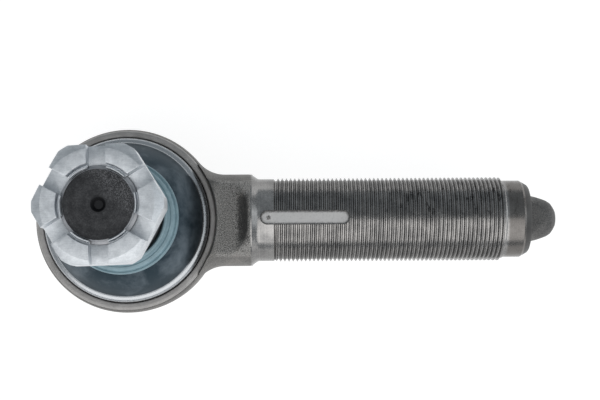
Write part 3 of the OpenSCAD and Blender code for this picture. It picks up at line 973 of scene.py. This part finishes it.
def block(low, high):
    """A bar between two corners, as a cutter."""
    shape = bmesh.new()
    bmesh.ops.create_cube(shape, size=1)
    size = [(b - a) * MM for a, b in zip(low, high)]
    bmesh.ops.scale(shape, verts=shape.verts[:], vec=size)
    bmesh.ops.translate(shape, verts=shape.verts[:],
                        vec=[(a + b) / 2 * MM for a, b in zip(low, high)])
    return shape


gap = block((-SNAP_OUT - 2, -SNAP_GAP, CUT_LOW), (-SNAP_IN + 2, SNAP_GAP, CUT_HIGH))
combined(snap, object_of(gap, "gap"), "DIFFERENCE")
middle = (SNAP_IN + SNAP_OUT) / 2
for side in (-1, 1):
    lean = math.radians(180 + side * PLIER_AT)
    pin = turned([(0, CUT_LOW), (PLIER_R, CUT_LOW), (PLIER_R, CUT_HIGH),
                  (0, CUT_HIGH)], steps=24)
    bmesh.ops.translate(pin, verts=pin.verts[:],
                        vec=(middle * math.cos(lean) * MM,
                             middle * math.sin(lean) * MM, 0))
    combined(snap, object_of(pin, "plier_hole"), "DIFFERENCE")


def spring_steel(name):
    """Blued spring steel, faintly streaked by drawing."""
    bench = Bench(name)
    lines = bench.lathe_lines("Z", 3.0)
    grain = bench.noise(2.0, detail=5.0, roughness=0.65)
    colour = (lines * 0.5 + grain * 0.5).between(0.3, 0.75).blend(
        (0.05, 0.053, 0.06), (0.16, 0.165, 0.18))
    return bench.finish(base_color=colour, metallic=0.85,
                        roughness=0.3 + grain * 0.2,
                        normal=bench.relief(grain, 0.03))


spring = spring_steel("spring_steel")
hand_over(snap, spring, "housing", ["retaining_ring"])

# %% Grease nipple
HEX_FLATS, HEX_LOW, HEAD_R, THROAT_R, TIP = 11.0, -31.5, 3.25, 2.4, -38.0
BORE_R, INLET_R, NIPPLE_TOP = 1.6, 1.1, -25.0
inside = [(BORE_R, NIPPLE_TOP), (BORE_R, -35.6), (INLET_R, -36.5), (INLET_R, TIP)]
nipple = object_of(turned(
    inside + [(2.3, TIP), (HEAD_R, TIP + 1.0), (HEAD_R, TIP + 2.4),
              (THROAT_R, TIP + 3.5), (THROAT_R, HEX_LOW - 0.6),
              (THROAT_R + 0.4, HEX_LOW + 0.1), (NIPPLE_R, HEX_LOW + 0.2),
              (NIPPLE_R, NIPPLE_TOP)], rounding=0.12, steps=64), "nipple")
hex_corner = HEX_FLATS / math.sqrt(3)
bar = prism(6, hex_corner, HEX_LOW, BOSS_LOW)
across = hex_corner + 0.5
cone = turned([(0, HEX_LOW), (HEX_FLATS / 2 - 0.2, HEX_LOW), (across, HEX_LOW + 0.8),
               (across, BOSS_LOW - 0.8), (HEX_FLATS / 2 - 0.2, BOSS_LOW),
               (0, BOSS_LOW)], steps=64)
hexagon = combined(object_of(bar, "hexagon"), object_of(cone, "cone"), "INTERSECT")
core_bore = turned([(0, -40), (BORE_R + 0.3, -40), (BORE_R + 0.3, -20), (0, -20)],
                   steps=48)
combined(hexagon, object_of(core_bore, "core_bore"), "DIFFERENCE")
combined(nipple, hexagon, "UNION")
nipple_zinc = bright_zinc("zinc_nipple", (0.48, 0.40, 0.20), (0.78, 0.68, 0.40),
                          rough=0.26, relief=0.02)
hand_over(nipple, nipple_zinc, "housing", ["nipple_body"], crease=26)

# %% [markdown]
# ## Pieces that keep their measured shape
# The seats, the disc spring, the seals and the check ball are inside. Their
# CAD shapes are right, so each one only gets the finish of what it is made of.

# %% Finishes for the inner pieces


def moulded(name, dark, light, rough, per_mm, relief):
    """Nylon or rubber: even in colour, with a faint moulded grain."""
    bench = Bench(name)
    grain = bench.noise(per_mm, detail=5.0, roughness=0.6)
    patches = bench.noise(0.25, detail=2.0)
    colour = (grain * 0.5 + patches * 0.5).between(0.3, 0.7).blend(dark, light)
    return bench.finish(base_color=colour, roughness=rough + grain * 0.15,
                        normal=bench.relief(grain, relief))


nylon = moulded("bearing_nylon", (0.62, 0.58, 0.47), (0.78, 0.74, 0.62), 0.42, 1.5,
                0.03)
rubber = moulded("black_rubber", (0.012, 0.012, 0.013), (0.035, 0.035, 0.037), 0.6,
                 2.5, 0.05)
ball_steel = turned_steel("ball_steel", "Z", (0.45, 0.46, 0.48), (0.62, 0.63, 0.65),
                          rough=0.14)
for node, material in (("upper_seat", nylon), ("lower_seat", nylon),
                       ("preload_spring", spring), ("cover_seal", rubber),
                       ("cap_seal", rubber), ("nipple_ball", ball_steel)):
    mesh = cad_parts[node].data
    mesh.materials.clear()
    mesh.materials.append(material)
    print(node, "is", material.name)

# %% [markdown]
# ## The check spring
# The nipple's spring is wound from half-millimetre wire. Like a thread, it is
# one outline turned and raised at once, here a capped circle. It is drawn a
# little short, which leaves the check ball the room it needs when grease
# pushes it in.

# %% Wound spring
COIL_R, WIRE_R, COIL_FROM, COIL_TO = 1.1, 0.25, -32.4, -25.25
COIL_TURNS, COIL_STEPS = 5, 24
coil = bmesh.new()
bmesh.ops.create_circle(
    coil, cap_ends=True, segments=10, radius=WIRE_R * MM,
    matrix=Matrix.Translation((COIL_R * MM, 0, COIL_FROM * MM))
    @ Matrix.Rotation(math.pi / 2, 4, "X"))
coil_count = COIL_TURNS * COIL_STEPS
bmesh.ops.spin(coil, geom=coil.verts[:] + coil.edges[:] + coil.faces[:],
               cent=(0, 0, 0), axis=(0, 0, 1), angle=math.tau * COIL_TURNS,
               steps=coil_count, use_merge=False, use_duplicate=False,
               dvec=(0, 0, (COIL_TO - COIL_FROM) / coil_count * MM))
bmesh.ops.recalc_face_normals(coil, faces=coil.faces[:])
loose = [e for e in coil.edges if len(e.link_faces) != 2]
print("coil", len(coil.faces), "faces,", len(loose), "open edges")
hand_over(object_of(coil, "check_coil"), spring, "housing",
          ["nipple_spring"], crease=60)

# %% [markdown]
# ## Floor, light and surroundings
# The part lies on a light table, whose glow keeps shadows pale. One long soft
# light stands over the near side, so a bright band runs along every turned
# surface. A small one beyond the stub draws the cap's rim on that side. The
# sky is a dim blue-grey, which the cap and the far sides reflect.

# %% Light table
FLOOR_SIZE = 5.0
table = bmesh.new()
bmesh.ops.create_grid(table, x_segments=1, y_segments=1, size=FLOOR_SIZE / 2)
bmesh.ops.translate(table, verts=table.verts[:], vec=(0, 0, (TIP - 0.05) * MM))
floor = object_of(table, "light_table")
bench = Bench("opal_table")
fibre = bench.noise(0.8, detail=3.0)
floor.data.materials.append(bench.finish(
    base_color=fibre.blend((0.27, 0.27, 0.27), (0.3, 0.3, 0.3)), roughness=0.9,
    emission_color=(1.0, 1.0, 1.0), emission_strength=0.86))

# %% Lights
world = bpy.data.worlds.new("studio")
world.use_nodes = True
sky = world.node_tree.nodes["Background"]
sky.inputs["Color"].default_value = (0.86, 0.94, 1.0, 1.0)
sky.inputs["Strength"].default_value = 0.33
bpy.context.scene.world = world


def soft_light(name, place, target, width, height, radiance, colour=(1, 1, 1)):
    """A flat light of a width and height that looks as bright as radiance."""
    lamp = bpy.data.lights.new(name, "AREA")
    lamp.shape, lamp.size, lamp.size_y = "RECTANGLE", width, height
    lamp.energy = math.pi * width * height * radiance
    lamp.color = colour
    made = bpy.data.objects.new(name, lamp)
    made.location = place
    made.rotation_euler = looking(Vector(place), Vector(target), 0.0)
    bpy.context.scene.collection.objects.link(made)
    print(name, round(lamp.energy, 1), "W")
    return made


MIDDLE = (0.06, 0.0, 0.0)
soft_light("end_softbox", (0.85, 0.05, 0.26), MIDDLE, 0.9, 0.5, 0.8,
           (0.95, 0.98, 1.0))
soft_light("near_softbox", (0.06, -0.534, 0.696), MIDDLE, 1.8, 1.2, 1.25,
           (1.0, 0.97, 0.945))
